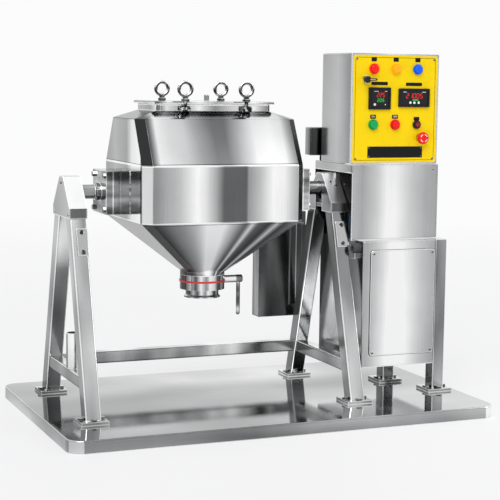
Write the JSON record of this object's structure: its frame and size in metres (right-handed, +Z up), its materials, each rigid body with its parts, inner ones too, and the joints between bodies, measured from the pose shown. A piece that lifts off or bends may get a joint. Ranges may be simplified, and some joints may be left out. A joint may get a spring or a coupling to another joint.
{
  "type": "octagonal blender",
  "caption": "Tumbling powder blender: an octagonal steel vessel turning between A-frame stands, with a drive cabinet and control panel.",
  "frame": {"origin": "centre of the base tray's footprint, on the floor", "axes": "+Z up, +X along the trunnion axis from the free stand to the driven one, -Y towards the operator"},
  "size_m": [1.425, 0.86, 1.17],
  "materials": {
    "vessel_steel": "fine brushed",
    "machined_steel": "machined",
    "fasteners": "polished",
    "frame_steel": "satin",
    "base_steel": "satin",
    "sheet_steel": "brushed",
    "castings": "painted casting",
    "motor_paint": "satin paint",
    "box_grey": "powder coat",
    "gland": "matt",
    "white_silicone": "matt",
    "red_silicone": "matt",
    "yellow_plate": "satin paint",
    "bezel_metal": "satin chrome",
    "meter_black": "matt",
    "lens_red": "glossy",
    "lens_amber": "glossy",
    "lens_blue": "glossy",
    "cap_green": "glossy",
    "cap_red": "glossy",
    "cap_dark_red": "glossy",
    "lever_black": "satin"
  },
  "bodies": {
    "base": {"amber_lamp": "lens_amber", "anchor_bolts": "fasteners", "base_plate": "base_steel", "batch_timer": "meter_black", "bearing_housings": "castings", "bearing_seats": "frame_steel", "bearings": "machined_steel", "blue_lamp": "lens_blue", "box_bracket": "frame_steel", "cabinet_panel": "sheet_steel", "cabinet_posts": "frame_steel", "control_bezels": "bezel_metal", "coupling_guard": "sheet_steel", "cross_tubes": "frame_steel", "drive_housing": "sheet_steel", "drive_motor": "motor_paint", "foot_plates": "frame_steel", "gearbox": "castings", "inverter_box": "box_grey", "junction_box": "box_grey", "left_front_leg": "frame_steel", "left_rear_leg": "frame_steel", "left_stand_cover": "sheet_steel", "lower_cabinet": "sheet_steel", "panel_enclosure": "sheet_steel", "panel_plate": "yellow_plate", "rail_socket": "frame_steel", "red_lamp": "lens_red", "right_front_leg": "frame_steel", "right_rear_leg": "frame_steel", "right_stand_cover": "sheet_steel", "speed_meter": "meter_black", "supply_gland": "gland", "tie_bar": "frame_steel"},
    "vessel": {"vessel_shell": "vessel_steel", "hub_blocks": "machined_steel", "left_trunnion": "machined_steel", "right_trunnion": "machined_steel", "trunnion_bolts": "fasteners", "shaft_coupling": "machined_steel", "bolt_lugs": "vessel_steel", "valve_body": "vessel_steel", "valve_seat": "red_silicone"},
    "valve": {"valve_disc": "machined_steel", "valve_lever": "machined_steel"},
    "lid": {"lid": "vessel_steel", "lid_gasket": "white_silicone"},
    "start": {"start_button": "cap_green"},
    "stop": {"stop_button": "cap_red"},
    "reset": {"reset_button": "cap_dark_red"},
    "estop": {"estop_button": "cap_red"},
    "selector": {"selector_lever": "lever_black"},
    "bolt_1": {"swing_bolt_1": "machined_steel"},
    "nut_1": {"ring_nut_1": "fasteners"},
    "bolt_2": {"swing_bolt_2": "machined_steel"},
    "nut_2": {"ring_nut_2": "fasteners"},
    "bolt_3": {"swing_bolt_3": "machined_steel"},
    "nut_3": {"ring_nut_3": "fasteners"},
    "bolt_4": {"swing_bolt_4": "machined_steel"},
    "nut_4": {"ring_nut_4": "fasteners"}
  },
  "joints": [
    {"name": "vessel_turn", "type": "hinge", "parent": "base", "child": "vessel", "pos_m": [-0.142, 0.024, 0.722], "axis": [1, 0, 0], "continuous": true},
    {"name": "valve_turn", "type": "hinge", "parent": "vessel", "child": "valve", "pos_m": [-0.142, 0.024, 0.427], "axis": [-1, 0, 0], "range_deg": [0, 90]},
    {"name": "lid_lift", "type": "slide", "parent": "vessel", "child": "lid", "axis": [0, 0, 1], "range_m": [0, 0.015]},
    {"name": "bolt_1_swing", "type": "hinge", "parent": "vessel", "child": "bolt_1", "pos_m": [-0.245, -0.088, 0.984], "axis": [1, 0, 0], "range_deg": [0, 100]},
    {"name": "bolt_2_swing", "type": "hinge", "parent": "vessel", "child": "bolt_2", "pos_m": [-0.039, -0.088, 0.984], "axis": [1, 0, 0], "range_deg": [0, 100]},
    {"name": "bolt_3_swing", "type": "hinge", "parent": "vessel", "child": "bolt_3", "pos_m": [-0.245, 0.136, 0.984], "axis": [-1, 0, 0], "range_deg": [0, 100]},
    {"name": "bolt_4_swing", "type": "hinge", "parent": "vessel", "child": "bolt_4", "pos_m": [-0.039, 0.136, 0.984], "axis": [-1, 0, 0], "range_deg": [0, 100]},
    {"name": "nut_1_lift", "type": "slide", "parent": "bolt_1", "child": "nut_1", "axis": [0, 0, 1], "range_m": [0, 0.015]},
    {"name": "nut_2_lift", "type": "slide", "parent": "bolt_2", "child": "nut_2", "axis": [0, 0, 1], "range_m": [0, 0.015]},
    {"name": "nut_3_lift", "type": "slide", "parent": "bolt_3", "child": "nut_3", "axis": [0, 0, 1], "range_m": [0, 0.015]},
    {"name": "nut_4_lift", "type": "slide", "parent": "bolt_4", "child": "nut_4", "axis": [0, 0, 1], "range_m": [0, 0.015]},
    {"name": "start_press", "type": "slide", "parent": "base", "child": "start", "axis": [0, 1, 0], "range_m": [0, 0.004], "stiffness_N_per_m": 500},
    {"name": "stop_press", "type": "slide", "parent": "base", "child": "stop", "axis": [0, 1, 0], "range_m": [0, 0.004], "stiffness_N_per_m": 500},
    {"name": "reset_press", "type": "slide", "parent": "base", "child": "reset", "axis": [0, 1, 0], "range_m": [0, 0.004], "stiffness_N_per_m": 500},
    {"name": "estop_press", "type": "slide", "parent": "base", "child": "estop", "axis": [0, 1, 0], "range_m": [0, 0.006]},
    {"name": "selector_turn", "type": "hinge", "parent": "base", "child": "selector", "pos_m": [0.37, -0.114, 1.084], "axis": [0, 1, 0], "range_deg": [0, 90]}
  ],
  "couplings": [
    {"joint": "nut_1_lift", "follows": "lid_lift", "ratio": 1},
    {"joint": "nut_2_lift", "follows": "lid_lift", "ratio": 1},
    {"joint": "nut_3_lift", "follows": "lid_lift", "ratio": 1},
    {"joint": "nut_4_lift", "follows": "lid_lift", "ratio": 1}
  ]
}
